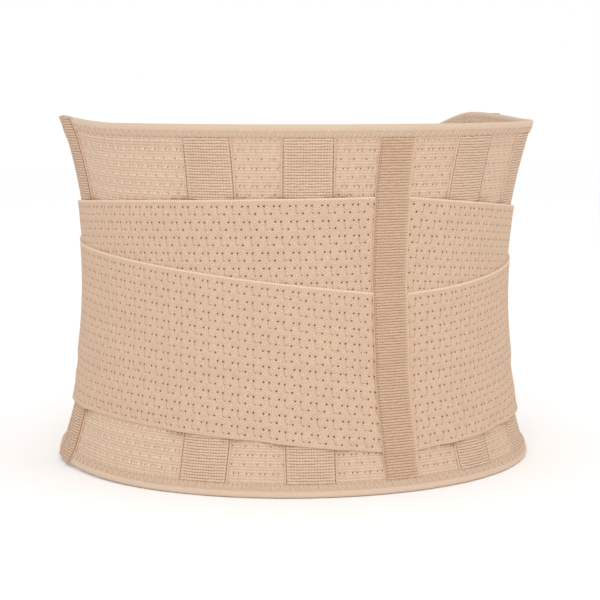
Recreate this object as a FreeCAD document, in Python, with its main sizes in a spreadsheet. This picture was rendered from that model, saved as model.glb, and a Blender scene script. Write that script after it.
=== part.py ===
"""Lumbar support belt, standing closed as it is worn. Millimetres.

The wearer faces +Y with the left side towards -X, and +Z is up. The origin is on the ground at the
middle of the belt. A place on the belt is given by three numbers:

arc     distance round the inner face at the waist, from the spine, positive towards the wearer's right
height  distance above the ground
layer   distance outward from the panels' inner face
"""
import FreeCAD
import Part
import Sketcher
import math
import os

Vector = FreeCAD.Vector
SPINE_ANGLE = -math.pi / 2
LEFT, RIGHT = -1, 1
SIDE_NAMES = {LEFT: "left", RIGHT: "right"}

# gaps between the sections of a loft: where it bends evenly, and where its layer changes
LONG_GAP = 14
SHORT_GAP = 5

DIMENSIONS = {
    # the torso that the belt is shaped to
    "belt_height": 240,
    "waist_half_width": 147.6,
    "waist_half_depth": 144.2,
    "waist_centre_y": -4.111,
    "waist_height": 124.5,
    "flare_radius": 370,
    "lean_slope": 0.034,
    # panels, from the spine to the side seams and on to the front
    "panel_thickness": 2,
    "sewing_gap": 0.15,
    "seam_arc": 261,
    "seam_gap": 2.5,
    "hip_rise": 2.5,
    "hip_rise_start": 140,
    "corner_rise": 4,
    "corner_rise_start": 180,
    "front_drop": 34,
    "front_level_arc": 340,
    "left_past_centre": 55,
    "right_short_of_centre": 3,
    "overlap_lift": 4.8,
    "overlap_ramp": 37,
    # bindings
    "binding_thickness": 1,
    "binding_width": 9,
    "end_binding_width": 11,
    # casings and stays
    "casing_width": 33,
    "casing_layer": 4.4,
    "casing_wall": 1,
    "inner_casing_arc": 56,
    "outer_casing_arc": 120,
    "side_casing_arc": 245,
    "side_casing_end_gap": 0.5,
    "side_casing_step": 13,
    "pocket_width": 17,
    "stay_width": 12,
    "stay_thickness": 0.8,
    "stay_layer": 2.3,
    "stay_end_gap": 18,
    # centre-back tape
    "spine_tape_width": 26,
    "spine_tape_thickness": 1.2,
    "tape_step_ease": 6,
    # straps
    "strap_width": 104,
    "strap_thickness": 1.4,
    "upper_strap_height": 141.5,
    "upper_left_slope": 0,
    "upper_left_curve": -0.000135,
    "upper_right_slope": -0.1,
    "upper_right_curve": 0,
    "lower_strap_height": 76.5,
    "lower_left_slope": 0.12,
    "lower_left_curve": -0.0001,
    "lower_right_slope": 0.075,
    "lower_right_curve": 0,
    "lower_left_spread": 12,
    "lower_left_spread_start": 90,
    "lower_right_spread": 8,
    "lower_right_spread_start": 20,
    "strap_split_arc": 330,
    "strap_split_gap": 2,
    "strap_end_width": 92,
    "strap_end_tuck": 8,
    # strap tabs with their hook patches, and the loop patches they land on
    "tab_start": 346,
    "tab_end": 397,
    "tab_height": 112,
    "tab_thickness": 1.3,
    "tab_corner": 20,
    "hook_start_margin": 10,
    "hook_end_margin": 4,
    "hook_side_margin": 5,
    "hook_thickness": 1,
    "loop_thickness": 1,
    "touch_gap": 0.5,
    "landing_start": 342,
    "landing_end": 401,
    "landing_height": 138,
    "closure_loop_start": 405,
    "closure_loop_end": 450,
    "closure_hook_start": 468,
    "closure_hook_end": 500,
    "closure_margin": 26,
    "closure_hook_margin": 30,
}

doc = FreeCAD.newDocument("LumbarBelt")
sheet = doc.addObject("Spreadsheet::Sheet", "Dimensions")
for row, (alias, value) in enumerate(DIMENSIONS.items(), start=1):
    sheet.set(f"A{row}", alias)
    sheet.set(f"B{row}", str(value))
    sheet.setAlias(f"B{row}", alias)
doc.recompute()


def size(alias):
    """A driving dimension, read from the sheet."""
    return float(sheet.get(alias))


WAIST_CENTRE = Vector(0, size("waist_centre_y"), 0)
WAIST = Part.Ellipse(WAIST_CENTRE, size("waist_half_width"), size("waist_half_depth"))
HALF_GIRTH = WAIST.length() / 2


# ---------------------------------------------------------------- the belt's surface


def smooth(value, start, end):
    """Rises from 0 at start to 1 at end, easing in and out."""
    share = min(max((value - start) / (end - start), 0), 1)
    return share * share * (3 - 2 * share)


def station(arc):
    """The waist point at this arc, and the directions out of the belt and round it."""
    turn = WAIST.parameterAtDistance(arc, SPINE_ANGLE) if arc else SPINE_ANGLE
    along = WAIST.tangent(turn)[0]
    return WAIST.value(turn), Vector(along.y, -along.x, 0), along


def flare(height):
    """How far the panels stand out from the waist line at this height."""
    rise = height - size("waist_height")
    return size("flare_radius") - math.sqrt(size("flare_radius") ** 2 - rise**2)


def skin(arc, height, layer):
    """The point of the belt at this place."""
    point, out, _ = station(arc)
    lean = size("lean_slope") * (size("waist_height") - height)
    return point + out * (layer + flare(height)) + Vector(0, lean, height)


def widening(height, layer):
    """How much longer the belt is at this height and layer than round the waist."""
    return 1 + 2 * math.pi * (layer + flare(height)) / (2 * HALF_GIRTH)


def top_edge(arc):
    """Height of the top edge: up a little at the side seams, then down to the front."""
    girth = abs(arc)
    corner = size("corner_rise") * smooth(girth, size("corner_rise_start"), size("seam_arc"))
    drop = size("front_drop") * smooth(girth, size("seam_arc") - 6, size("front_level_arc"))
    return size("belt_height") + corner - drop


def bottom_edge(arc):
    """Height of the bottom edge: on the ground, but a little up over the hips."""
    girth = abs(arc)
    up = smooth(girth, size("hip_rise_start"), size("seam_arc"))
    down = smooth(girth, size("seam_arc"), size("front_level_arc"))
    return size("hip_rise") * (up - down)


def on_panel():
    """The layer at which a piece sewn onto a panel's outer face starts."""
    return size("panel_thickness") + size("sewing_gap")


def overlap_layer(arc):
    """How far the left front panel stands off where it crosses over the right one."""
    if arc > 0:
        return 0
    return size("overlap_lift") * smooth(-arc, HALF_GIRTH - size("overlap_ramp"), HALF_GIRTH)


# ---------------------------------------------------------------- ways to make a solid


def spline(points):
    """A smooth edge through the points."""
    curve = Part.BSplineCurve()
    curve.interpolate(points)
    return curve.toShape()


def steps(first, last, gap):
    """Evenly spaced values from first to last, about gap apart."""
    count = max(2, round(abs(last - first) / gap))
    return [first + (last - first) * step / count for step in range(count + 1)]


def steps_through(*stops):
    """Values from stop to stop. Each stop but the last is a value, and the gap from there on."""
    values = []
    for (start, gap), (end, _) in zip(stops, stops[1:]):
        values += steps(start, end, gap)[:-1]
    return values + [stops[-1][0]]


def upright_edge(arc, low, high, layer):
    """An edge that follows the flare up the belt."""
    return spline([skin(arc, height, layer) for height in steps(low, high, (high - low) / 8)])


def band(arcs, low, high, inner, outer):
    """A slab round the belt through these arcs. low, high, inner and outer are functions of the arc."""
    sections = []
    for arc in arcs:
        foot, head = low(arc), high(arc)
        inside = upright_edge(arc, foot, head, inner(arc))
        outside = upright_edge(arc, foot, head, outer(arc))
        across = Part.makeLine(skin(arc, head, inner(arc)), skin(arc, head, outer(arc)))
        under = Part.makeLine(skin(arc, foot, inner(arc)), skin(arc, foot, outer(arc)))
        sections.append(Part.Wire([inside, across, outside, under]))
    return Part.makeLoft(sections, True, False)


def fold_outline(wide):
    """The U section of a binding, as (depth in from the edge, layer) corners, wide deep."""
    fold = size("binding_thickness")
    inside, outside = -size("sewing_gap"), on_panel()
    return [
        (wide, inside - fold),
        (0, inside - fold),
        (0, outside + fold),
        (wide, outside + fold),
        (wide, outside),
        (fold, outside),
        (fold, inside),
        (wide, inside),
    ]


def folded_band(arcs, edge, way):
    """A binding folded over a panel's top (way 1) or bottom (way -1) edge."""
    outline = fold_outline(size("binding_width"))
    sections = []
    for arc in arcs:
        lift = overlap_layer(arc)
        corners = [skin(arc, edge(arc) - way * depth, lift + layer) for depth, layer in outline]
        sections.append(Part.makePolygon(corners + corners[:1]))
    return Part.makeLoft(sections, True, False)


def end_binding(end, way):
    """A binding folded over a front panel's upright end. way is the side that the panel is on."""
    outline = fold_outline(size("end_binding_width"))
    lift, margin = overlap_layer(end), size("binding_width")
    sections = []
    for height in steps(bottom_edge(end) + margin, top_edge(end) - margin, 20):
        corners = [skin(end - way * depth, height, lift + layer) for depth, layer in outline]
        sections.append(Part.makePolygon(corners + corners[:1]))
    return Part.makeLoft(sections, True, False)


def level_edge(centre, start, end, height, layer):
    """An edge across a tape at one height, from start to end in true distance off its middle."""
    spread = widening(height, layer)
    offsets = steps(start, end, abs(end - start) / 4)
    return spline([skin(centre + offset / spread, height, layer) for offset in offsets])


def joining_line(edge, following):
    """The straight line from one edge's end to the start of the next."""
    return Part.makeLine(edge.valueAt(edge.LastParameter), following.valueAt(following.FirstParameter))


def tape(centre, width, heights, inner, outer, pocket=0, ruled=False):
    """An upright tape of one true width. inner and outer are functions of the height.

    A pocket of that width is open towards the panel, and the tape's wall closes it outside.
    A tape that steps over others is ruled, which keeps its steps from swinging out.
    """
    half, wall = width / 2, size("casing_wall")
    sections = []
    for height in heights:
        rim, lip = outer(height), inner(height)
        runs = [(-half, half, rim), (half, -half, lip)]
        if pocket:
            roof = rim - wall
            room = pocket / 2
            runs = [(-half, half, rim), (half, room, lip), (room, -room, roof), (-room, -half, lip)]
        edges = [level_edge(centre, start, end, height, layer) for start, end, layer in runs]
        closed = []
        for edge, following in zip(edges, edges[1:] + edges[:1]):
            closed.append(edge)
            closed.append(joining_line(edge, following))
        sections.append(Part.Wire(closed))
    return Part.makeLoft(sections, True, ruled)


parts = []


def keep(label, shape):
    """Adds a sub-part whose shape no standard feature gives."""
    feature = doc.addObject("Part::Feature", label)
    feature.Label = label
    feature.Shape = shape
    feature.Placement = FreeCAD.Placement()
    parts.append(feature)


# ---------------------------------------------------------------- back: panel, bindings, casings, stays


def flat_inside(arc):
    """The layer of a panel's inner face where it crosses over nothing."""
    return 0


def flat_outside(arc):
    """The layer of a panel's outer face where it crosses over nothing."""
    return size("panel_thickness")


def panel_foot(arc):
    """Height of a panel's bottom edge, inside its binding's fold."""
    return bottom_edge(arc) + size("binding_thickness") + size("sewing_gap")


def panel_head(arc):
    """Height of a panel's top edge, inside its binding's fold."""
    return top_edge(arc) - size("binding_thickness") - size("sewing_gap")


def make_back_panel():
    seam = size("seam_arc")
    arcs = steps(-seam, seam, LONG_GAP)
    keep("back_panel", band(arcs, panel_foot, panel_head, flat_inside, flat_outside))
    keep("back_top_binding", folded_band(arcs, top_edge, 1))
    keep("back_bottom_binding", folded_band(arcs, bottom_edge, -1))


def make_casing(label, arc):
    """A ribbed tape sewn over the panel between the bindings, with a pocket for a stay."""
    low = bottom_edge(arc) + size("binding_width") + size("sewing_gap")
    high = top_edge(arc) - size("binding_width") - size("sewing_gap")
    casing = tape(
        arc,
        size("casing_width"),
        steps(low, high, LONG_GAP),
        lambda height: on_panel(),
        lambda height: size("casing_layer"),
        pocket=size("pocket_width"),
    )
    keep(label, casing)


def make_side_casing(label, arc):
    """The casing at the side seam, which runs over both bindings to the belt's edges."""
    low = bottom_edge(arc) + size("side_casing_end_gap")
    high = top_edge(arc) - size("side_casing_end_gap")
    fold = size("binding_thickness") + size("sewing_gap")
    step, ease = size("side_casing_step"), size("tape_step_ease") / 2
    outside = size("casing_layer")

    def under(height):
        inward = min(height - low, high - height)
        return on_panel() + fold * (1 - smooth(inward, step - ease, step + ease))

    clear = step + ease
    heights = steps_through((low, 2), (low + clear, LONG_GAP), (high - clear, 2), (high, 0))
    casing = tape(arc, size("casing_width"), heights, under, lambda height: outside, ruled=True)
    room = tape(
        arc,
        size("pocket_width"),
        steps(low + step, high - step, LONG_GAP),
        lambda height: 0,
        lambda height: outside - size("casing_wall"),
        ruled=True,
    )
    keep(label, casing.cut(room))


def stay_placement(arc):
    """Stands a stay at this arc, leaning with the belt."""
    point, out, _ = station(arc)
    up = Vector(0, -size("lean_slope"), 1).normalize()
    out = (out - up * out.dot(up)).normalize()
    along = up.cross(out)
    base = point + Vector(0, size("lean_slope") * size("waist_height"), 0)
    turned = FreeCAD.Rotation(out, along, up, "XYZ")
    return FreeCAD.Placement(base, turned)


def make_stay(label, arc):
    """A flat spring-steel strip bent to the flare: a ring sector drawn side on, padded to its width."""
    body = doc.addObject("PartDesign::Body", label)
    body.Label = label
    sketch = body.newObject("Sketcher::SketchObject", f"{label}_profile")
    side_plane = next(plane for plane in body.Origin.OriginFeatures if plane.Role == "XZ_Plane")
    sketch.AttachmentSupport = [(side_plane, "")]
    sketch.MapMode = "FlatFace"
    centre = Vector(size("flare_radius") + size("stay_layer"), size("waist_height"), 0)
    foot, head = size("stay_end_gap"), size("belt_height") - size("stay_end_gap")
    inner, outer = size("flare_radius"), size("flare_radius") - size("stay_thickness")
    for radius in (inner, outer):
        start = math.pi - math.asin((head - centre.y) / radius)
        end = math.pi + math.asin((centre.y - foot) / radius)
        circle = Part.Circle(centre, Vector(0, 0, 1), radius)
        sketch.addGeometry(Part.ArcOfCircle(circle, start, end), False)
    for end_point in (1, 2):
        ends = [sketch.getPoint(arc_index, end_point) for arc_index in (0, 1)]
        line = sketch.addGeometry(Part.LineSegment(*ends), False)
        sketch.addConstraint(Sketcher.Constraint("Coincident", line, 1, 0, end_point))
        sketch.addConstraint(Sketcher.Constraint("Coincident", line, 2, 1, end_point))
        sketch.addConstraint(Sketcher.Constraint("Horizontal", line))
    sketch.addConstraint(Sketcher.Constraint("Coincident", 0, 3, 1, 3))
    bound = [
        ("DistanceX", (-1, 1, 0, 3, centre.x), "<<Dimensions>>.flare_radius + <<Dimensions>>.stay_layer"),
        ("DistanceY", (-1, 1, 0, 3, centre.y), "<<Dimensions>>.waist_height"),
        ("Radius", (0, inner), "<<Dimensions>>.flare_radius"),
        ("Radius", (1, outer), "<<Dimensions>>.flare_radius - <<Dimensions>>.stay_thickness"),
        ("DistanceY", (-1, 1, 0, 2, foot), "<<Dimensions>>.stay_end_gap"),
        ("DistanceY", (-1, 1, 0, 1, head), "<<Dimensions>>.belt_height - <<Dimensions>>.stay_end_gap"),
    ]
    for kind, values, expression in bound:
        index = sketch.addConstraint(Sketcher.Constraint(kind, *values))
        sketch.setExpression(f"Constraints[{index}]", expression)
    doc.recompute()
    pad = body.newObject("PartDesign::Pad", f"{label}_pad")
    pad.Profile = sketch
    pad.SideType = "Symmetric"
    pad.setExpression("Length", "<<Dimensions>>.stay_width")
    body.Tip = pad
    body.Placement = stay_placement(arc)
    parts.append(body)


def make_spine_tape():
    """The centre-back tape, sewn over the ends of the straps, stepping up and down over them."""
    half, ease = size("spine_tape_width") / 2, size("tape_step_ease")
    lower_foot = strap_edges("lower", 0)[0] - ease
    lower_head = max(strap_edges("lower", side * half)[1] for side in SIDE_NAMES)
    upper_head = strap_edges("upper", 0)[1]

    def past(height, edge):
        return smooth(height, edge, edge + ease)

    def under(height):
        straps = 2 * past(height, lower_foot) - past(height, lower_head) - past(height, upper_head)
        return on_panel() + strap_step() * straps

    low = size("binding_width") + size("sewing_gap")
    high = size("belt_height") - low
    stops = [(low, LONG_GAP)]
    for edge in (lower_foot, lower_head, upper_head):
        stops += [(edge, 2), (edge + ease, LONG_GAP)]
    over = tape(
        0,
        size("spine_tape_width"),
        steps_through(*stops, (high, 0)),
        under,
        lambda height: under(height) + size("spine_tape_thickness"),
        ruled=True,
    )
    keep("centre_back_tape", over)


# ---------------------------------------------------------------- straps


def own_height(level, side, girth):
    """Height of a strap's middle line at this distance from the spine, before it draws in to the tab."""
    slope, curve = size(f"{level}_{side}_slope"), size(f"{level}_{side}_curve")
    return size(f"{level}_strap_height") + (slope + curve * girth) * girth


def own_width(level, side, girth):
    """Width of a strap before it draws in to the tab: the lower ones spread out over the hips."""
    if level == "upper":
        return size("strap_width")
    share = smooth(girth, size(f"lower_{side}_spread_start"), size("seam_arc"))
    return size("strap_width") + size(f"lower_{side}_spread") * share


def tab_middle(side):
    """Height of a strap tab's middle: half way between its two straps at the seam."""
    return sum(own_height(level, side, size("seam_arc")) for level in ("upper", "lower")) / 2


def strap_middle(level, arc):
    """Height of a strap's middle line: on its own way to the side seam, then in to the tab."""
    girth, side = abs(arc), SIDE_NAMES[RIGHT if arc > 0 else LEFT]
    own = own_height(level, side, girth)
    return own + (tab_middle(side) - own) * smooth(girth, size("seam_arc"), size("tab_start"))


def strap_edges(level, arc):
    """Heights of a strap's bottom and top edges."""
    own = own_width(level, SIDE_NAMES[RIGHT if arc > 0 else LEFT], abs(arc))
    width = own + (size("strap_end_width") - own) * smooth(abs(arc), size("seam_arc"), size("tab_start"))
    middle = strap_middle(level, arc)
    return middle - width / 2, middle + width / 2


def strap_layer(level, arc):
    """The layer of a strap's inner face: on the panel at the spine, over the casings, in to the tab."""
    girth = abs(arc)
    free = size("casing_layer") + size("sewing_gap")
    rise = smooth(girth, size("spine_tape_width") / 2, size("inner_casing_arc") - size("casing_width") / 2)
    base = on_panel() + (free - on_panel()) * rise
    base += (hook_layer() - free) * smooth(girth, size("strap_split_arc"), size("tab_start"))
    return base + (strap_step() if level == "lower" else 0)


def strap_step():
    """How much further out a piece lies that is sewn over a strap."""
    return size("strap_thickness") + size("sewing_gap")


def hook_layer():
    """The layer of the tab's hooks, just off the loops that they land on."""
    return on_panel() + size("loop_thickness") + size("touch_gap")


def tab_layer():
    """The layer of a strap tab's inner face, over the two straps."""
    return hook_layer() + 2 * strap_step()


def make_strap_part(label, level, arcs):
    strap = band(
        arcs,
        lambda arc: strap_edges(level, arc)[0],
        lambda arc: strap_edges(level, arc)[1],
        lambda arc: strap_layer(level, arc),
        lambda arc: strap_layer(level, arc) + size("strap_thickness"),
    )
    keep(label, strap)


def make_straps(side):
    """Each strap has a rear part, a side part past the seam, and a free end in the tab."""
    name = SIDE_NAMES[side]
    seam, split, half_gap = size("seam_arc"), size("strap_split_arc"), size("strap_split_gap") / 2
    risen = size("inner_casing_arc")
    girths = {
        "rear": steps_through((half_gap / 2, SHORT_GAP), (risen, LONG_GAP), (seam, 0)),
        "side": steps(seam + size("seam_gap"), split - half_gap, LONG_GAP),
        "end": steps(split + half_gap, size("tab_start") + size("strap_end_tuck"), SHORT_GAP),
    }
    for level in ("upper", "lower"):
        for stretch, stations in girths.items():
            arcs = [side * girth for girth in stations]
            make_strap_part(f"{level}_strap_{stretch}_{name}", level, arcs)


def make_patch(label, first, last, middle, height, inner, thickness, corner=0):
    """A patch that lies flat on the belt, with round corners at last. inner is a function of the arc."""

    def half(arc):
        into = max(corner - abs(last - arc), 0)
        return height / 2 - corner + math.sqrt(corner**2 - into**2)

    patch = band(
        steps(first, last, SHORT_GAP),
        lambda arc: middle - half(arc),
        lambda arc: middle + half(arc),
        inner,
        lambda arc: inner(arc) + thickness,
    )
    keep(label, patch)


def make_strap_tab(side):
    """The tab that both strap ends are sewn into, with its hook patch inside."""
    name = SIDE_NAMES[side]
    middle = tab_middle(name)
    first, last = side * size("tab_start"), side * size("tab_end")
    make_patch(
        f"strap_tab_{name}",
        first,
        last,
        middle,
        size("tab_height"),
        lambda arc: tab_layer(),
        size("tab_thickness"),
        size("tab_corner"),
    )
    make_patch(
        f"strap_hook_patch_{name}",
        side * (size("tab_start") + size("hook_start_margin")),
        side * (size("tab_end") - size("hook_end_margin")),
        middle,
        size("tab_height") - 2 * size("hook_side_margin"),
        lambda arc: hook_layer(),
        tab_layer() - size("sewing_gap") - hook_layer(),
        size("tab_corner") - size("hook_end_margin"),
    )


# ---------------------------------------------------------------- front panels and closure


def panel_end(side):
    """The arc of a front panel's upright end: the left one goes past the middle, over the right one."""
    if side == LEFT:
        return -(HALF_GIRTH + size("left_past_centre"))
    return HALF_GIRTH - size("right_short_of_centre")


def make_front_panel(side):
    name, end = SIDE_NAMES[side], panel_end(side)
    start = side * (size("seam_arc") + size("seam_gap"))
    level = side * size("front_level_arc")
    ramp = side * (HALF_GIRTH - size("overlap_ramp"))
    trimmed = end - side * (size("binding_thickness") + size("sewing_gap"))
    keep(
        f"front_panel_{name}",
        band(
            steps_through((start, SHORT_GAP), (level, LONG_GAP), (ramp, SHORT_GAP), (trimmed, 0)),
            panel_foot,
            panel_head,
            overlap_layer,
            lambda arc: overlap_layer(arc) + size("panel_thickness"),
        ),
    )
    arcs = steps_through((start, SHORT_GAP), (level, LONG_GAP), (ramp, SHORT_GAP), (end, 0))
    keep(f"front_top_binding_{name}", folded_band(arcs, top_edge, 1))
    keep(f"front_bottom_binding_{name}", folded_band(arcs, bottom_edge, -1))
    keep(f"front_end_binding_{name}", end_binding(end, side))
    make_patch(
        f"landing_loop_{name}",
        side * size("landing_start"),
        side * size("landing_end"),
        tab_middle(name),
        size("landing_height"),
        lambda arc: on_panel(),
        size("loop_thickness"),
    )


def make_closure():
    """Hook inside the left panel's end, and loop outside the right panel's end, one over the other."""
    top = top_edge(size("closure_loop_end"))
    make_patch(
        "closure_loop_patch",
        size("closure_loop_start"),
        size("closure_loop_end"),
        top / 2,
        top - 2 * size("closure_margin"),
        lambda arc: on_panel(),
        size("loop_thickness"),
    )
    make_patch(
        "closure_hook_patch",
        -size("closure_hook_start"),
        -size("closure_hook_end"),
        top / 2,
        top - 2 * size("closure_hook_margin"),
        lambda arc: overlap_layer(arc) - size("sewing_gap") - size("hook_thickness"),
        size("hook_thickness"),
    )


# ---------------------------------------------------------------- the whole belt

make_back_panel()
make_spine_tape()
for side, side_name in SIDE_NAMES.items():
    make_casing(f"inner_casing_{side_name}", side * size("inner_casing_arc"))
    make_casing(f"outer_casing_{side_name}", side * size("outer_casing_arc"))
    make_side_casing(f"side_casing_{side_name}", side * size("side_casing_arc"))
    for place in ("inner", "outer", "side"):
        make_stay(f"{place}_stay_{side_name}", side * size(f"{place}_casing_arc"))
    make_straps(side)
    make_front_panel(side)
    make_strap_tab(side)
make_closure()
doc.recompute()

os.makedirs("parts", exist_ok=True)
for item in doc.Objects:
    if "Invalid" in item.State or "Error" in item.State:
        raise RuntimeError(f"{item.Label} did not compute: {item.State}")
for piece in parts:
    shape = piece.Shape
    if shape.isNull() or not shape.isValid() or shape.Volume <= 0:
        raise RuntimeError(f"{piece.Label} is not a valid solid")
    shape.exportStep(f"parts/{piece.Label}.step")
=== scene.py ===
"""Lumbar support belt: cloth, tapes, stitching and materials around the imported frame. Metres.

The wearer faces +Y with the left side towards -X. A place on the belt is given by three numbers:

arc     distance round the inner face at the waist, from the spine, positive towards the wearer's right
height  distance above the ground
layer   distance outward from the panels' inner face

girth is the distance from the spine to either side. Materials read a place on the cloth, in
millimetres, from the mesh attribute "cloth": how far along the cloth, and how far across it.
"""
import math

import bpy
import numpy as np
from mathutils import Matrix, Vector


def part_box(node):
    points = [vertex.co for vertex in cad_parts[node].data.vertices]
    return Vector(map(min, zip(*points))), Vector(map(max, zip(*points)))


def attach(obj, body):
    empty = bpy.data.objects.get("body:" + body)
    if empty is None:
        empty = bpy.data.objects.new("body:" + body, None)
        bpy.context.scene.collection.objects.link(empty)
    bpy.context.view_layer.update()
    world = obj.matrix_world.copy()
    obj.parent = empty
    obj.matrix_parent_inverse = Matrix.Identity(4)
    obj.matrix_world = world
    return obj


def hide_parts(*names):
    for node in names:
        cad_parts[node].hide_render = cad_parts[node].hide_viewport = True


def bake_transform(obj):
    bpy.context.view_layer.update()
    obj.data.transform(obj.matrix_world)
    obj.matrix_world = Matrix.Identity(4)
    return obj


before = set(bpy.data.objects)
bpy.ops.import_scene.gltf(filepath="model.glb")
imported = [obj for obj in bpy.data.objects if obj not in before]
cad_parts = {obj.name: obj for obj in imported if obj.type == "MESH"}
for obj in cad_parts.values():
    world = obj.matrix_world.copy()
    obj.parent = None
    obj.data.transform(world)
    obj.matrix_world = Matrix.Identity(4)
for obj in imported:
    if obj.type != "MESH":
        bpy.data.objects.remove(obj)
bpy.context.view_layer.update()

LEFT, RIGHT = -1, 1
SIDE_NAMES = {LEFT: "left", RIGHT: "right"}
MM = 0.001

# the torso that the belt is shaped to
BELT_HEIGHT = 0.240
WAIST_HALF_WIDTH = 0.1476
WAIST_HALF_DEPTH = 0.1442
WAIST_CENTRE_Y = -0.004111
WAIST_HEIGHT = 0.1245
FLARE_RADIUS = 0.370
LEAN_SLOPE = 0.034

# panels and bindings
PANEL = 0.002
SEAM = 0.261
HIP_RISE = 0.0025
CORNER_RISE = 0.004
FRONT_DROP = 0.034
FRONT_LEVEL = 0.340
LEFT_PAST_CENTRE = 0.055
RIGHT_SHORT_OF_CENTRE = 0.003
OVERLAP_LIFT = 0.0048
OVERLAP_RAMP = 0.037
BINDING = 0.001
BINDING_WIDTH = 0.009
END_BINDING_WIDTH = 0.011
ZIGZAG_PITCH = 0.0054
ZIGZAG_START = 0.0042
ZIGZAG_SWING = 0.0041
ZIGZAG_THREAD = 0.00030

# tapes over the stays and the spine
CASING_WIDTH = 0.0345
CASING_LAYER = 0.0044
CASING_STITCH = 0.0160
CASING_TAPE = 0.0012
TUCK = 0.0003
SEAM_MARGIN = 0.001
CASING_ARCS = {"inner": 0.056, "outer": 0.120, "side": 0.245}
POCKET_WIDTH = 0.017
POCKET_ROOF = 0.0034
CASING_LEANS = {
    # how far each tape leans to the wearer's left over the belt's height, and how far it is off its stay
    ("inner", LEFT): (0.0048, -0.0014),
    ("outer", LEFT): (0.0005, 0.0014),
    ("side", LEFT): (0.0, 0.0),
    ("inner", RIGHT): (0.006, -0.002),
    ("outer", RIGHT): (0.005, 0.0),
    ("side", RIGHT): (0.0, 0.0),
}
SPINE_TAPE_LEAN = 0.0075
SPINE_TAPE_ARC = -0.003
SPINE_TAPE_WIDTH = 0.026
SPINE_TAPE = 0.0012
SPINE_STITCHES = (-0.0122, -0.0110)
SPINE_PLAIN = (0.0006, 0.0016)
RIB_PITCH = 0.00183
RIB_DEPTH = 0.00032

# straps, tabs and touch fastener
STRAP = 0.0014
STRAP_WIDTH = 0.104
STRAP_END_WIDTH = 0.092
STRAP_HEIGHTS = {"upper": 0.1415, "lower": 0.0765}
STRAP_COURSES = {
    # slope at the spine, and how fast it changes
    ("upper", LEFT): (0.0, -0.135),
    ("upper", RIGHT): (-0.1, 0.0),
    ("lower", LEFT): (0.145, -0.235),
    ("lower", RIGHT): (0.075, 0.0),
}
STRAP_SPREADS = {
    # how much wider a lower strap is over the hip, and the girth where it starts to spread
    LEFT: (0.008, 0.070),
    RIGHT: (0.008, 0.020),
}
STRAP_RISE_START = 0.020
STRAP_START = 0.0004
STRAP_JOINT = 0.322
SPLIT = 0.330
TAB_START, TAB_END = 0.346, 0.397
TAB_HEIGHT = 0.112
TAB = 0.0013
TAB_CORNER = 0.020
TAB_SEAM_END = 0.008
STRAP_TUCK = 0.008
LOOP = 0.001
TOUCH_GAP = 0.0005
LANDING_START, LANDING_END = 0.342, 0.401
LANDING_HEIGHT = 0.138
CLOSURE_LOOP = (0.405, 0.450)
CLOSURE_HOOK = (0.468, 0.500)
CLOSURE_LOOP_MARGIN = 0.026
CLOSURE_HOOK_MARGIN = 0.030
HINGE_ZONE = (0.262, 0.320)
PEEL_ZONE = (0.324, 0.350)
HINGE_HEIGHT = 0.12

# ------------------------ the belt's surface

TURNS = np.linspace(-1.3 * math.pi, 1.3 * math.pi, 20001)
SPEEDS = np.hypot(WAIST_HALF_WIDTH * np.cos(TURNS), WAIST_HALF_DEPTH * np.sin(TURNS))
STRETCHES = (SPEEDS[1:] + SPEEDS[:-1]) / 2 * np.diff(TURNS)
ARCS = np.concatenate([[0], np.cumsum(STRETCHES)])
ARCS -= np.interp(0, TURNS, ARCS)
HALF_GIRTH = float(np.interp(math.pi, TURNS, ARCS))


def smooth(value, start, end):
    """Rises from 0 at start to 1 at end, easing in and out."""
    share = np.clip((value - start) / (end - start), 0, 1)
    return share * share * (3 - 2 * share)


def outward(arc):
    """The level direction out of the belt at each arc."""
    turn = np.interp(arc, ARCS, TURNS)
    x, y = WAIST_HALF_DEPTH * np.sin(turn), -WAIST_HALF_WIDTH * np.cos(turn)
    return np.stack([x, y, np.zeros_like(x)], -1) / np.hypot(x, y)[..., None]


def flare(height):
    """How far the panels stand out from the waist line at each height."""
    return FLARE_RADIUS - np.sqrt(FLARE_RADIUS**2 - (height - WAIST_HEIGHT) ** 2)


def skin(arc, height, layer):
    """Points of the belt, from arrays or numbers that go together."""
    arc, height, layer = np.broadcast_arrays(
        np.asarray(arc, float), np.asarray(height, float), np.asarray(layer, float)
    )
    turn = np.interp(arc, ARCS, TURNS)
    lean = LEAN_SLOPE * (WAIST_HEIGHT - height)
    x = WAIST_HALF_WIDTH * np.sin(turn)
    y = WAIST_CENTRE_Y - WAIST_HALF_DEPTH * np.cos(turn) + lean
    return np.stack([x, y, height], -1) + outward(arc) * (layer + flare(height))[..., None]


def widening(height, layer):
    """How much longer the belt is at this height and layer than round the waist."""
    return 1 + math.pi * (layer + flare(height)) / HALF_GIRTH


def top_edge(arc):
    girth = np.abs(arc)
    corner = CORNER_RISE * smooth(girth, 0.180, SEAM)
    return BELT_HEIGHT + corner - FRONT_DROP * smooth(girth, SEAM - 0.006, FRONT_LEVEL)


def bottom_edge(arc):
    girth = np.abs(arc)
    return HIP_RISE * (smooth(girth, 0.140, SEAM) - smooth(girth, SEAM, FRONT_LEVEL))


def overlap_layer(arc):
    """How far the left front panel stands off where it crosses over the right one."""
    return OVERLAP_LIFT * smooth(-np.asarray(arc, float), HALF_GIRTH - OVERLAP_RAMP, HALF_GIRTH)


def own_height(level, side, girth):
    """Height of a strap's middle line before it draws in to the tab."""
    slope, curve = STRAP_COURSES[level, side]
    return STRAP_HEIGHTS[level] + (slope + curve * girth) * girth


TAB_MIDDLES = {
    side: sum(corner.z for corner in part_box(f"strap_tab_{name}")) / 2 for side, name in SIDE_NAMES.items()
}


def strap_middle(level, side, girth):
    own = own_height(level, side, girth)
    return own + (TAB_MIDDLES[side] - own) * smooth(girth, SEAM, TAB_START)


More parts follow.
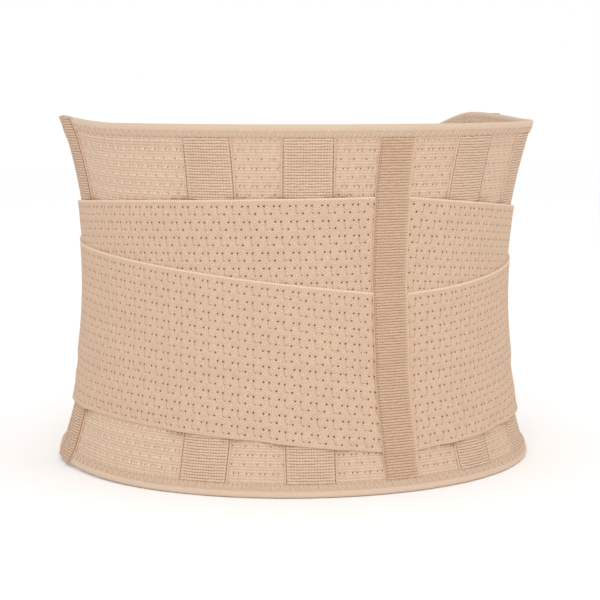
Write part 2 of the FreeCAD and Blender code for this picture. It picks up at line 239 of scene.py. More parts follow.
def strap_width(level, side, girth):
    """Width of a strap: the lower ones spread out over the hips before they draw in to the tab."""
    own = STRAP_WIDTH
    if level == "lower":
        spread, start = STRAP_SPREADS[side]
        own = own + spread * smooth(girth, start, SEAM)
    return own + (STRAP_END_WIDTH - own) * smooth(girth, SEAM, TAB_START)


HOOK_LAYER = PANEL + LOOP + TOUCH_GAP
TAB_LAYER = HOOK_LAYER + 2 * STRAP


def strap_layer(level, girth):
    """The layer of a strap's inner face."""
    rise = smooth(girth, STRAP_RISE_START, CASING_ARCS["inner"] - CASING_WIDTH / 2)
    base = PANEL + (CASING_LAYER - PANEL) * rise
    base = base + (HOOK_LAYER - CASING_LAYER) * smooth(girth, SPLIT, TAB_START)
    return base + (STRAP if level == "lower" else 0)


def hug(level, girth, across):
    """How far a strap's free edge sinks to the panel between the casings that hold it off."""
    rim = across if level == "upper" else STRAP_WIDTH - across
    held = smooth(girth, 0.290, 0.310)
    for arc in CASING_ARCS.values():
        off = np.abs(girth - arc) - CASING_WIDTH / 2
        held = np.maximum(held, 1 - smooth(off, 0, 0.014))
    return (CASING_LAYER - PANEL) * (1 - held) * (1 - smooth(rim, 0.001, 0.013))


# ------------------------ ways to make a mesh


def add_object(name, data):
    made = bpy.data.objects.new(name, data)
    bpy.context.scene.collection.objects.link(made)
    return made


def piece(name, points, faces, coords, smooth_faces, caps=()):
    """A new mesh piece. coords gives each point's place on the cloth, in millimetres."""
    used, faces = np.unique(faces, return_inverse=True)
    points, faces = points.reshape(-1, 3)[used], faces.reshape(-1, 4)
    ends = [np.searchsorted(used, cap).tolist() for cap in caps]
    mesh = bpy.data.meshes.new(name)
    mesh.from_pydata(points.tolist(), [], faces.tolist() + ends)
    mesh.polygons.foreach_set("use_smooth", np.concatenate([smooth_faces, np.zeros(len(ends), bool)]))
    attribute = mesh.attributes.new("cloth", "FLOAT_VECTOR", "POINT")
    attribute.data.foreach_set("vector", coords.reshape(-1, 3)[used].astype(np.float32).ravel())
    first, second, third, fourth = (points[faces[:, corner]] - points[0] for corner in range(4))
    volume = (first * np.cross(second, third)).sum() + (first * np.cross(third, fourth)).sum()
    if volume < 0:
        mesh.flip_normals()
    mesh.update()
    return add_object(name, mesh)


def edge_walls(starts, ends, chosen, depth):
    """Quads from the outer grid's edges, starts to ends, down to the inner grid."""
    start, end = starts[chosen], ends[chosen]
    return np.stack([start, end, end + depth, start + depth], -1)


def cloth(name, outer, inner, coords, kept=None):
    """A closed cloth between two grids of points, without the cells that aren't kept."""
    rows, columns = outer.shape[:2]
    if kept is None:
        kept = np.ones((rows - 1, columns - 1), bool)
    depth = rows * columns
    index = np.arange(depth).reshape(rows, columns)
    corners = [index[:-1, :-1], index[:-1, 1:], index[1:, 1:], index[1:, :-1]]
    front = np.stack(corners, -1)[kept]
    around = np.pad(kept, 1).astype(int)
    level = around[1:, 1:-1] - around[:-1, 1:-1]
    upright = around[1:-1, 1:] - around[1:-1, :-1]
    walls = np.concatenate([
        edge_walls(index[:, 1:], index[:, :-1], level > 0, depth),
        edge_walls(index[:, :-1], index[:, 1:], level < 0, depth),
        edge_walls(index[:-1], index[1:], upright > 0, depth),
        edge_walls(index[1:], index[:-1], upright < 0, depth),
    ])
    faces = np.concatenate([front, front[:, ::-1] + depth, walls])
    flags = np.arange(len(faces)) < 2 * len(front)
    points = np.concatenate([outer.reshape(-1, 3), inner.reshape(-1, 3)])
    both = np.concatenate([coords.reshape(-1, 3)] * 2)
    return piece(name, points, faces, both, flags)


def sweep(name, rings, coords):
    """A solid from rings of points, (stations, points round the ring, 3)."""
    stations, count = rings.shape[:2]
    index = np.arange(stations * count).reshape(stations, count)
    after = np.roll(index, -1, axis=1)
    faces = np.stack([index[:-1], after[:-1], after[1:], index[1:]], -1).reshape(-1, 4)
    return piece(name, rings, faces, coords, np.ones(len(faces), bool), [index[0, ::-1], index[-1]])


def threads(name, paths, outs, radius, sides=6):
    """Round threads along paths, (threads, points, 3), lying on a surface that faces outs."""
    tangent = np.gradient(paths, axis=1)
    across = np.cross(tangent, outs)
    across /= np.linalg.norm(across, axis=-1, keepdims=True)
    angle = np.arange(sides) * 2 * math.pi / sides
    ring = across[:, :, None] * np.cos(angle)[:, None] + outs[:, :, None] * np.sin(angle)[:, None]
    taper = np.ones(paths.shape[1])
    taper[[0, -1]] = 0.45
    rings = paths[:, :, None] + ring * (radius * taper)[:, None, None]
    total, length = paths.shape[:2]
    index = np.arange(total * length * sides).reshape(total, length, sides)
    after = np.roll(index, -1, axis=2)
    faces = np.stack([index[:, :-1], index[:, 1:], after[:, 1:], after[:, :-1]], -1).reshape(-1, 4)
    ends = [*index[:, 0], *index[:, -1, ::-1]]
    steps = np.linalg.norm(np.diff(paths, axis=1, prepend=paths[:, :1]), axis=-1)
    coords = np.zeros(rings.shape)
    coords[..., 0] = np.cumsum(steps, axis=1)[:, :, None] / MM
    coords[..., 1] = angle
    return piece(name, rings, faces, coords, np.ones(len(faces), bool), ends)


RIM_STEPS = (0.00015, 0.00045, 0.0010, 0.0017)


def rims(first, last):
    """The fine grid lines at either end of a cloth."""
    starts = [first, *(first + step for step in RIM_STEPS)]
    ends = [*(last - step for step in reversed(RIM_STEPS)), last]
    return starts, ends


def lines(first, last, gap):
    """Even grid lines, with finer ones where the cloth's edges round over."""
    starts, ends = rims(first, last)
    count = max(2, round((ends[0] - starts[-1]) / gap))
    return np.concatenate([starts, np.linspace(starts[-1], ends[0], count + 1)[1:-1], ends])


def rounding(distance, radius=0.0006):
    """How full a cloth is at this distance from its rim: it rounds over there."""
    return 0.4 + 0.6 * np.sqrt(1 - (1 - np.clip(distance / radius, 0, 1)) ** 2)


def hole_lines(first, last, pitch, offsets, hole, clear):
    """Grid lines with a narrow gap for each line of holes, and the number of the hole in each gap."""
    grid, ends = rims(first, last)
    held = [-1] * len(RIM_STEPS)
    for turn in range(math.floor(first / pitch), math.ceil(last / pitch) + 1):
        for number, offset in enumerate(offsets):
            middle = turn * pitch + offset
            if first + clear < middle < last - clear:
                grid += [middle - hole / 2, middle + hole / 2]
                held += [-1, number]
    grid += ends
    return np.array(grid), np.array(held + [-1] * (len(RIM_STEPS) + 1))


WEAVE_START = 0.0048


class Weave:
    """An elastic's openings. Each cell has an upper pair, and one lower opening further to the spine."""

    def __init__(self, along, across, pair, drop, lean, first_row, hole):
        self.along, self.across = along, across
        self.hole = hole
        self.lower_start = WEAVE_START - lean
        self.columns = [WEAVE_START - lean - pair, WEAVE_START, WEAVE_START + pair]
        self.rows = [first_row, first_row + drop]


STRAP_WEAVES = {
    "upper": Weave(0.00955, 0.0101, 0.0035, 0.0049, 0.00045, 0.0047, 0.00085),
    "lower": Weave(0.00955, 0.0101, 0.0035, 0.0049, 0.0010, 0.0047, 0.00085),
}
STRAP_SKEWS = {"upper": 0.085, "lower": 0.03}
PANEL_WEAVE = Weave(0.0077, 0.0117, 0.0029, 0.00585, 0.0002, 0.0040, 0.00065)


def perforated(name, weave, reach, width, place, clear):
    """A cloth with a weave's openings. place gives the outer and inner points of a grid."""
    columns, column_holes = hole_lines(*reach, weave.along, weave.columns, weave.hole, clear[0])
    rows, row_holes = hole_lines(0, width, weave.across, weave.rows, weave.hole, clear[1])
    upper = (row_holes[:, None] == 0) & (column_holes > 0)
    lower = (row_holes[:, None] == 1) & (column_holes == 0)
    open_cells = np.pad(upper | lower, 1)
    dips = open_cells[1:, 1:] | open_cells[:-1, 1:] | open_cells[1:, :-1] | open_cells[:-1, :-1]
    along, across = np.meshgrid(columns, rows)
    outer, inner = place(along, across, dips * 0.00008)
    coords = np.stack([along, across, np.zeros_like(along)], -1) / MM
    return cloth(name, outer, inner, coords, ~(upper | lower))


# ------------------------ pieces of the belt


def panel(name, arcs, clear=0.004):
    """A panel between two arcs. Its weave runs on from the back to the fronts."""

    def place(along, across, dips):
        arc = -along
        head, foot = top_edge(arc) - BINDING, bottom_edge(arc) + BINDING
        height = head + (foot - head) * across / BELT_HEIGHT
        lift = overlap_layer(arc)
        return skin(arc, height, lift + PANEL - dips), skin(arc, height, lift)

    reach = (-max(arcs), -min(arcs))
    return perforated(name, PANEL_WEAVE, reach, BELT_HEIGHT, place, (clear, BINDING_WIDTH + 0.001))


def strap(name, level, side, first, last):
    """A stretch of strap. Its weave runs along it, and leans a little."""

    def place(line, across, dips):
        ease = smooth(line, first, first + 0.02) * (1 - smooth(line, last - 0.02, last))
        girth = line - STRAP_SKEWS[level] * (across - STRAP_WIDTH / 2) * ease
        width = strap_width(level, side, girth)
        height = strap_middle(level, side, girth) + (0.5 - across / STRAP_WIDTH) * width
        inner = strap_layer(level, girth)
        if level == "lower":
            hidden_edge = strap_middle("upper", side, girth) - strap_width("upper", side, girth) / 2
            inner = inner - STRAP * (1 - smooth(height, hidden_edge - 0.012, hidden_edge - 0.001))
        inner = np.maximum(inner - hug(level, girth, across), PANEL + 0.0001)
        selvage = 0.00012 * np.exp(-(((across - 0.0007) / 0.0005) ** 2))
        full = rounding(np.minimum(across, STRAP_WIDTH - across), 0.0009)
        outer = inner + STRAP * full + selvage - dips
        return skin(side * girth, height, outer), skin(side * girth, height, inner)

    return perforated(name, STRAP_WEAVES[level], (first, last), STRAP_WIDTH, place, (0.0025, 0.0025))


def fold_profile(wide):
    """The section of a binding, as (depth in from the edge, layer): a rolled edge and two flat legs."""
    middle, roll = PANEL / 2, 0.0023
    leg = [(0.0030, 0.0023), (0.0041, 0.0021), (0.0047, 0.00185), (0.0053, 0.00195), (0.0065, 0.00205)]
    leg += [(wide - 0.0012, 0.00195), (wide - 0.0004, 0.0018), (wide - 0.0001, 0.0015), (wide, 0.00105)]
    outer = [(depth, middle + off) for depth, off in reversed(leg)]
    inner = [(depth, middle - off) for depth, off in leg]
    angles = np.linspace(math.pi / 2, -math.pi / 2, 13)
    edge = [(roll - roll * math.cos(angle), middle + roll * math.sin(angle)) for angle in angles]
    inside = [(wide - 0.0002, 0), (BINDING + 0.0002, 0), (BINDING + 0.0002, PANEL), (wide - 0.0002, PANEL)]
    return np.array(outer + edge + inner + inside)


def fold_coords(stations, depth, layer):
    """A fold's places on the cloth: along its stations, and round its section."""
    run = np.cumsum(np.hypot(np.diff(depth, prepend=depth[0]), np.diff(layer, prepend=layer[0])))
    return np.stack(np.broadcast_arrays(stations, run, 0 * run), -1) / MM


def binding(name, first, last, edge, way):
    """A binding folded over a top (way 1) or bottom (way -1) edge, puckered by its zigzag stitch."""
    arcs = np.linspace(first, last, round(abs(last - first) / 0.001) + 1)[:, None]
    depth, layer = fold_profile(BINDING_WIDTH).T
    off = layer - PANEL / 2
    facing = np.sign(off) * (np.abs(off) > PANEL / 2 + 0.00002)
    wave = 0.00012 * np.cos(arcs * 2 * math.pi / ZIGZAG_PITCH) * smooth(depth, 0.0042, 0.0050)
    roll = 0.0001 * np.sin(arcs / 0.0061) + 0.00008 * np.sin(arcs / 0.0023 + 1)
    proud = (wave + roll * (1 - smooth(depth, 0.0028, 0.0042))) * facing
    rings = skin(arcs, edge(arcs) - way * depth, overlap_layer(arcs) + layer + proud)
    return sweep(name, rings, fold_coords(arcs, depth, layer))


def end_binding(name, side, end):
    """The binding folded over a front panel's upright end."""
    low, high = bottom_edge(end) + BINDING_WIDTH, top_edge(end) - BINDING_WIDTH
    heights = np.linspace(low, high, 160)[:, None]
    depth, layer = fold_profile(END_BINDING_WIDTH).T
    rings = skin(end - side * depth, heights, overlap_layer(end) + layer)
    return sweep(name, rings, fold_coords(heights, depth, layer))


def zigzag(name, first, last, edge, way):
    """The zigzag stitch through a binding, seen on both of its faces."""
    count = 8 * round(abs(last - first) / ZIGZAG_PITCH)
    arc = np.linspace(first, last, count + 1)
    swing = np.abs(np.mod(np.arange(count + 1), 8) - 4) / 4
    depth = ZIGZAG_START + ZIGZAG_SWING * swing
    sunk = 0.0002 * (np.abs(swing - 0.5) * 2) ** 4
    height = edge(arc) - way * depth
    lift = overlap_layer(arc)
    faces = [skin(arc, height, lift + PANEL + BINDING + 0.0002 - sunk)]
    faces.append(skin(arc, height, lift - BINDING - 0.0002 + sunk))
    return threads(name, np.stack(faces), np.stack([outward(arc)] * 2), ZIGZAG_THREAD)


def stitching(name, rows, stitch=0.0025, gap=0.0007, radius=0.00022):
    """Rows of stitches. Each row is its length, and a function from distance to arc, height and layer."""
    paths, outs = [], []
    share = np.linspace(0, 1, 6)
    for length, at in rows:
        count = int(length / (stitch + gap))
        distance = np.arange(count)[:, None] * (stitch + gap) + stitch * share
        arc, height, layer = np.broadcast_arrays(*at(distance))
        paths.append(skin(arc, height, layer - 0.00022 * (2 * share - 1) ** 4))
        outs.append(outward(arc))
    return threads(name, np.concatenate(paths), np.concatenate(outs), radius)


def leaning(arc, lean, height):
    """The arc of a tape's middle line, which goes to the left by this much over the belt's height."""
    return arc - lean * (height / BELT_HEIGHT - 0.5)


def tape(name, arc, lean, width, low, high, inner_layer, outer_layer, plain):
    """An upright tape with level ribs. plain is how wide its edges are without ribs, left and right.

    The layers are functions of the height and of the distance off the tape's middle line.
    """
    ribs = round((high - low) / RIB_PITCH)
    off, height = np.meshgrid(lines(-width / 2, width / 2, 0.0023), np.linspace(low, high, 5 * ribs + 1))
    turn = (height - low) / (high - low) * ribs
    ridge = np.sqrt(np.abs(np.sin(math.pi * turn)))
    from_left, from_right = width / 2 + off, width / 2 - off
    ribbed = smooth(from_left, plain[0] - 0.0003, plain[0] + 0.0003)
    ribbed = ribbed * smooth(from_right, plain[1] - 0.0003, plain[1] + 0.0003)
    inner, outer = inner_layer(height, off), outer_layer(height, off)
    full = rounding(np.minimum(from_left, from_right), 0.0007)
    outer = inner + (outer - inner) * full - RIB_DEPTH * (1 - ridge) * ribbed
    place = leaning(arc, lean, height) + off / widening(height, outer)
    coords = np.stack([off / MM, turn * RIB_PITCH / MM, ribbed], -1)
    return cloth(name, skin(place, height, outer), skin(place, height, inner), coords)


def tape_rows(arc, lean, offs, low, high, layer):
    """Upright rows of stitches at these distances off a tape's middle line."""
    rows = []
    for off in offs:
        def at(distance, off=off):
            height = low + distance
            top = layer(height, off)
            return leaning(arc, lean, height) + off / widening(height, top), height, top
        rows.append((high - low, at))
    return rows


def patch(name, side, first, last, middle, half, inner_layer, thickness, corner=0, nap=0.0):
    """A flat piece on the belt, round at last, with a fuzzy face where nap isn't 0."""
    share, girth = np.meshgrid(lines(-half, half, 0.0016) / half, lines(first, last, 0.0016), indexing="ij")
    into = np.maximum(corner - (last - girth), 0)
    reach = half - corner + np.sqrt(np.maximum(corner**2 - into**2, 0))
    height = middle + share * reach
    rim = np.minimum(reach * (1 - np.abs(share)), np.minimum(girth - first, last - girth))
    inner = inner_layer(side * girth)
    fuzz = np.random.default_rng(len(name)).normal(0, nap, rim.shape) * smooth(rim, 0.0005, 0.0015)
    outer = inner + thickness * rounding(rim, 0.0007) + fuzz
    coords = np.stack([girth, height, rim], -1) / MM
    return cloth(name, skin(side * girth, height, outer), skin(side * girth, height, inner), coords)


def at_layer(layer):
    """A layer that is the same at every arc."""
    return lambda arc: np.full_like(arc, layer)


def outline_row(side, first, last, middle, half, layer, corner, inset):
    """A row of stitches round a patch, this far in from its rim."""
    first, last, half, corner = first + inset, last - inset, half - inset, max(corner - inset, 0.0005)
    turn = np.linspace(0, math.pi / 2, 12)
    arc_x, arc_y = last - corner + corner * np.cos(turn), half - corner + corner * np.sin(turn)
    girths = np.concatenate([[first], [last - corner], arc_x[::-1], arc_x, [last - corner], [first], [first]])
    heights = np.concatenate([[half], [half], arc_y[::-1], -arc_y, [-half], [-half], [half]])
    run = np.concatenate([[0], np.cumsum(np.hypot(np.diff(girths), np.diff(heights)))])

    def at(distance):
        arc = side * np.interp(distance, run, girths)
        return arc, middle + np.interp(distance, run, heights), layer(arc)

    return run[-1], at


def hooks(name, side, first, last, middle, half, base_layer, height):
    """Rows of moulded hooks, standing towards the wearer and bent over at their tips."""
    girth, up = np.meshgrid(np.arange(first, last, 0.0017), np.arange(-half, half, 0.0017))
    girth, up = girth.ravel()[:, None], up.ravel()[:, None]
    share = np.array([0, 0.55, 0.85, 1, 0.85])
    bend = np.array([0, 0, 0.15, 0.45, 0.75]) * height
    way = np.where(np.arange(len(girth)) % 2, 1, -1)[:, None]
    arc = side * np.broadcast_to(girth, (len(girth), len(share)))
    layer = base_layer(arc) - height * share
    paths = skin(arc, middle + up + way * bend, layer)
    along = np.cross(outward(arc), [0.0, 0.0, 1.0])
    return threads(name, paths, along, 0.00016, sides=4)


# ------------------------ materials


def tone(red, green, blue):
    """A colour given as it looks on screen, from 0 to 255, as the linear colour that a shader takes."""
    shares = (np.array([red, green, blue]) / 255 + 0.055) / 1.055
    return (*(shares**2.4).tolist(), 1.0)


class Look:
    """A material in the making, with short ways to add the nodes that it needs."""

    def __init__(self, name, colour, roughness=0.85, sheen=0.15, specular=0.2):
        self.material = bpy.data.materials.new(name)
        self.material.use_nodes = True
        self.tree = self.material.node_tree
        self.tree.nodes.clear()
        self.shader = self.tree.nodes.new("ShaderNodeBsdfPrincipled")
        finish = self.tree.nodes.new("ShaderNodeOutputMaterial")
        self.tree.links.new(self.shader.outputs[0], finish.inputs["Surface"])
        sheens = {"Sheen Weight": sheen, "Sheen Roughness": 0.5, "Sheen Tint": colour}
        for socket, value in {"Roughness": roughness, "Specular IOR Level": specular, **sheens}.items():
            self.shader.inputs[socket].default_value = value
        self.colour = colour
        self.relief = None
        self.place = self.node("ShaderNodeAttribute", attribute_name="cloth").outputs["Vector"]
        split = self.node("ShaderNodeSeparateXYZ", self.place)
        self.along, self.across, self.third = split.outputs

    def node(self, kind, *values, **settings):
        """Adds a node, with its first inputs fed from sockets, numbers or colours."""
        made = self.tree.nodes.new(kind)
        for name, value in settings.items():
            setattr(made, name, value)
        for socket, value in zip(made.inputs, values):
            self.feed(socket, value)
        return made

    def feed(self, socket, value):
        if isinstance(value, bpy.types.NodeSocket):
            self.tree.links.new(value, socket)
        elif isinstance(value, tuple):
            socket.default_value = value[: len(socket.default_value)]
        else:
            socket.default_value = value

    def math(self, operation, *values):
        return self.node("ShaderNodeMath", *values, operation=operation).outputs[0]

    def times(self, first, *others):
        """The product of these values."""
        for other in others:
            first = self.math("MULTIPLY", first, other)
        return first

    def ramp(self, value, start, end):
        """0 at start, 1 at end, eased between them."""
        made = self.node("ShaderNodeMapRange", value, start, end, interpolation_type="SMOOTHSTEP")
        return made.outputs["Result"]

    def wave(self, value, pitch, phase=0.0):
        """A sine of this pitch, from 0 to 1."""
        turn = self.math("MULTIPLY_ADD", value, 2 * math.pi / pitch, phase)
        return self.math("MULTIPLY_ADD", self.math("SINE", turn), 0.5, 0.5)

    def noise(self, scale, stretch=(1, 1, 1), detail=2.0):
        """Noise from 0 to 1 over the cloth. scale is per millimetre."""
        vector = self.node("ShaderNodeVectorMath", self.place, stretch, operation="MULTIPLY")
        made = self.node("ShaderNodeTexNoise")
        self.feed(made.inputs["Vector"], vector.outputs[0])
        made.inputs["Scale"].default_value = scale
        made.inputs["Detail"].default_value = detail
        return made.outputs["Fac"]

    def tint(self, share, colour, amount=1.0):
        """Mixes this colour into what is there, by this amount of a share from 0 to 1."""
        made = self.node("ShaderNodeMix", data_type="RGBA", clamp_factor=True)
        self.feed(made.inputs["Factor"], self.times(share, amount))
        self.feed(made.inputs[6], self.colour)
        self.feed(made.inputs[7], colour)
        self.colour = made.outputs[2]

    def vary(self, value, amount):
        """Makes the colour lighter and darker by this amount as value goes from 0 to 1."""
        gain = self.math("MULTIPLY_ADD", value, 2 * amount, 1 - amount)
        made = self.node("ShaderNodeVectorMath", self.colour, operation="SCALE")
        self.feed(made.inputs["Scale"], gain)
        self.colour = made.outputs[0]

    def raise_by(self, value, height):
        """Adds to the relief, in millimetres."""
        part = self.times(value, height)
        self.relief = part if self.relief is None else self.math("ADD", self.relief, part)

    def finish(self):
        self.feed(self.shader.inputs["Base Color"], self.colour)
        if self.relief is not None:
            bump = self.node("ShaderNodeBump")
            bump.inputs["Distance"].default_value = MM
            self.feed(bump.inputs["Height"], self.relief)
            self.tree.links.new(bump.outputs[0], self.shader.inputs["Normal"])
        return self.material


# painted shade inside the knit's openings
OPENING_SHADE = tone(118, 74, 42)
LINE = tone(150, 108, 78)
PALE = tone(238, 220, 200)


def from_line(look, value, pitch, offset):
    """How far a place is off the nearest of evenly spaced lines, signed."""
    shifted = look.math("SUBTRACT", value, offset)
    return look.math("WRAP", shifted, pitch / 2, -pitch / 2)


def beside_line(look, value, pitch, offset):
    """How far a place is off the nearest of evenly spaced lines."""
    return look.math("ABSOLUTE", from_line(look, value, pitch, offset))


def openings(look, weave, strength, lines_share):
    """Painted shade in the round openings, a little wider than the holes, with a fainter dot of painted shade
    where no hole is cut, and the dotted lines that lead from them to the next.
    """
    pitch, drop = weave.along / MM, weave.across / MM
    columns, rows = np.array(weave.columns) / MM, np.array(weave.rows) / MM
    start = weave.lower_start / MM
    radius = weave.hole / MM * 0.8
    places = [
        (columns[1], rows[0], 1.0),
        (columns[2], rows[0], 1.0),
        (columns[0], rows[1], 1.0),
        (start, rows[1], 0.6),
    ]
    shade_dots = None
    for along, across, weight in places:
        off_along = from_line(look, look.along, pitch, along)
        off_across = from_line(look, look.across, drop, across)
        off = look.node("ShaderNodeCombineXYZ", off_along, off_across).outputs[0]
        away = look.node("ShaderNodeVectorMath", off, operation="LENGTH").outputs["Value"]
        shade_dot = look.times(look.ramp(away, radius, radius * 0.45), weight)
        shade_dots = shade_dot if shade_dots is None else look.math("MAXIMUM", shade_dots, shade_dot)
    fall = beside_line(look, look.across, drop, (rows[0] + rows[1]) / 2)
    beside = beside_line(look, look.along, pitch, columns[1])
    upright = look.times(look.ramp(beside, 0.5, 0.15), look.ramp(fall, 2.6, 2.1), look.wave(look.across, 1.1))
    below = beside_line(look, look.across, drop, rows[1])
    halfway = beside_line(look, look.along, pitch, (columns[0] + start) / 2)
    level = look.times(look.ramp(below, 0.45, 0.12), look.ramp(halfway, 1.9, 1.5))
    level = look.times(level, look.times(look.wave(look.along, 0.9), 0.4))
    dotted = look.math("MAXIMUM", upright, level)
    look.tint(dotted, LINE, lines_share)
    # painted shade, dark brown, in and round each opening
    look.tint(shade_dots, OPENING_SHADE, 0.9 * strength)
    look.raise_by(shade_dots, -0.25)
    look.raise_by(dotted, -0.10)


def knit(look, speckle):
    """The fine loops of a knitted elastic, with uneven yarn."""
    look.vary(look.noise(0.03, (1, 3, 1)), 0.05)
    look.vary(look.noise(0.35, (0.4, 1.6, 1)), 0.08)
    look.vary(look.noise(0.9, (1, 1.3, 1)), speckle * 0.4)
    look.vary(look.noise(1.9), speckle)
    slanted = look.math("MULTIPLY_ADD", look.along, 0.6, look.across)
    hatch = look.wave(slanted, 1.7)
    look.vary(hatch, speckle * 0.18)
    loops = look.times(hatch, look.wave(look.along, 1.9))
    look.raise_by(loops, 0.10)
    look.raise_by(look.noise(2.2), 0.08)


def strap_look(name, weave, colour):
    look = Look(name, colour)
    knit(look, 0.62)
    openings(look, weave, 1.0, 0.65)
    row = beside_line(look, look.across, weave.across / MM, 2.4)
    look.tint(look.ramp(row, 2.2, 0.6), tone(214, 164, 138), 0.14)
    selvage = look.ramp(look.across, 1.4, 0.8)
    look.tint(selvage, PALE, 0.7)
    ticks = look.times(look.wave(look.along, 1.7), selvage)
    look.tint(ticks, tone(196, 162, 134), 0.7)
    look.raise_by(ticks, -0.12)
    return look.finish()


def panel_look(name, colour):
    look = Look(name, colour)
    knit(look, 0.30)
    ribs = look.wave(look.across, 1.95)
    look.vary(ribs, 0.11)
    look.raise_by(ribs, 0.20)
    openings(look, PANEL_WEAVE, 0.8, 0.12)
    row = beside_line(look, look.across, PANEL_WEAVE.across / MM / 2, PANEL_WEAVE.rows[0] / MM)
    to_side = look.ramp(look.math("ABSOLUTE", look.along), 60.0, 170.0)
    beads = look.times(look.ramp(row, 1.0, 0.4), look.wave(look.along, PANEL_WEAVE.along / MM / 2), to_side)
    look.tint(beads, PALE, 0.5)
    look.raise_by(beads, 0.15)
    return look.finish()


def tape_look(name, colour, edge, thread_and_shadow_at, thread_and_shadow_width, thread_and_shadow_share, columns):
    """A ribbed tape: painted shade in the grooves between its ribs, crossed by upright rows of small dashes.
    """
    look = Look(name, colour, roughness=0.8)
    waver = look.math("MULTIPLY_ADD", look.noise(0.25, (1, 2, 1)), 1.2, look.across)
    groove = beside_line(look, waver, RIB_PITCH / MM, 0.6)
    groove_shade = look.times(look.ramp(groove, 0.5, 0.1), look.third)
    dashes = look.wave(look.along, 1.9)
    look.vary(look.noise(0.04), 0.05)
    look.vary(look.noise(1.0, (0.6, 1.5, 1)), 0.22)
    look.vary(look.wave(waver, RIB_PITCH / MM, 0.9), 0.07)
    share = look.math("MULTIPLY_ADD", dashes, 2.5 * columns, 1 - 2.5 * columns)
    # painted shade along the rib grooves, stronger at the dashes
    look.tint(groove_shade, GROOVE_SHADE_AND_DASH_TONE, share)
    crossing = look.times(look.math("POWER", dashes, 3.0), look.third)
    look.tint(crossing, GROOVE_SHADE_AND_DASH_TONE, columns)
    look.tint(look.math("SUBTRACT", 1.0, look.third), edge)
    # brown lines along the seams: the thread's colour, with painted shadow of the sunken stitch rows
    for off in thread_and_shadow_at:
        beside = look.math("ABSOLUTE", look.math("SUBTRACT", look.along, off))
        line = look.ramp(beside, thread_and_shadow_width, thread_and_shadow_width * 0.4)
        broken = look.math("MULTIPLY_ADD", look.wave(look.across, 3.2), 0.4, 0.6)
        look.tint(look.times(line, broken), BROWN, thread_and_shadow_share)
        look.raise_by(line, -0.2)
    look.raise_by(look.noise(2.5), 0.08)
    look.raise_by(crossing, -0.08)
    return look.finish()


def binding_look(name, colour):
    """Soft tape, with a row of needle marks under its zigzag."""
    look = Look(name, colour, sheen=0.25)
    look.vary(look.noise(0.05, (1, 0.2, 1)), 0.03)
    look.vary(look.noise(1.5, (0.5, 1.5, 1)), 0.06)
    band = look.times(look.ramp(look.across, 0.5, 1.1), look.ramp(look.across, 5.8, 4.9))
    look.tint(band, BINDING_SHADE, 0.45)
    mark = beside_line(look, look.along, ZIGZAG_PITCH / MM / 2, 0.0)
    lip = look.ramp(look.math("ABSOLUTE", look.math("SUBTRACT", look.across, 1.3)), 0.55, 0.2)
    marks = look.times(look.ramp(mark, 0.5, 0.15), lip)
    look.tint(marks, LINE, 0.6)
    look.raise_by(marks, -0.2)
    weave = look.times(look.wave(look.along, 0.7), look.wave(look.across, 0.7))
    look.raise_by(weave, 0.06)
    look.vary(weave, 0.03)
    return look.finish()


def thread_look(name, colour):
    """Twisted sewing thread."""
    look = Look(name, colour, roughness=0.6, sheen=0.1)
    strand = look.wave(look.along, 0.6, look.across)
    look.vary(strand, 0.10)
    look.raise_by(strand, 0.05)
    return look.finish()


def nap_look(name, colour, grain, depth):
    """Napped or looped cloth: soft, matt and uneven."""
    look = Look(name, colour, roughness=0.95, sheen=0.4)
    look.vary(look.noise(0.08), 0.05)
    pile = look.noise(grain, detail=4.0)
    look.vary(pile, 0.16)
    look.raise_by(pile, depth)
    return look.finish()


def hook_look(name, colour):
    look = Look(name, colour, roughness=0.45, sheen=0.0, specular=0.5)
    look.vary(look.noise(0.3), 0.05)
    look.raise_by(look.wave(look.across, 1.7), 0.08)
    return look.finish()


def steel_look(name):
    look = Look(name, (0.55, 0.56, 0.58, 1), roughness=0.35, sheen=0.0, specular=0.5)
    look.shader.inputs["Metallic"].default_value = 1.0
    place = look.node("ShaderNodeTexCoord").outputs["Object"]
    grain = look.node("ShaderNodeTexNoise")
    look.feed(grain.inputs["Vector"], place)
    grain.inputs["Scale"].default_value = 900.0
    look.vary(grain.outputs["Fac"], 0.12)
    look.raise_by(grain.outputs["Fac"], 0.02)
    return look.finish()


# ------------------------ looks

BASE = tone(203, 175, 151)
STRAP_TONE = tone(199, 171, 147)
SPINE_TONE = tone(196, 166, 141)
TAPE_TONE = tone(206, 179, 156)
SIDE_TONE = tone(200, 172, 149)
# painted shade in the tapes' rib grooves, and the tone of their small dashes
GROOVE_SHADE_AND_DASH_TONE = tone(150, 116, 90)
BINDING_TONE = tone(206, 182, 160)
BINDING_SHADE = tone(180, 150, 126)
BROWN = tone(142, 97, 72)

STRAP_LOOKS = {
    level: strap_look(f"{level}_strap_elastic", weave, STRAP_TONE) for level, weave in STRAP_WEAVES.items()
}
PANEL_LOOK = panel_look("panel_elastic", BASE)
FRONT_LOOK = panel_look("front_elastic", tone(202, 173, 148))
CASING_LOOK = tape_look("casing_tape", TAPE_TONE, TAPE_TONE, (-16.0, 16.0), 0.6, 0.6, 0.16)
SIDE_LOOK = tape_look("side_tape", SIDE_TONE, SIDE_TONE, (-15.4, 15.4), 1.6, 0.9, 0.12)
SPINE_LOOK = tape_look("spine_tape", SPINE_TONE, tone(202, 173, 148), (-12.3,), 0.5, 0.4, 0.12)
BINDING_LOOK = binding_look("binding_tape", BINDING_TONE)
THREAD_LOOK = thread_look("pale_thread", tone(217, 192, 168))
BROWN_THREAD_LOOK = thread_look("brown_thread", BROWN)
SPINE_THREAD_LOOK = thread_look("spine_thread", tone(172, 132, 106))
TAB_LOOK = nap_look("napped_tab", tone(203, 173, 148), 1.6, 0.25)
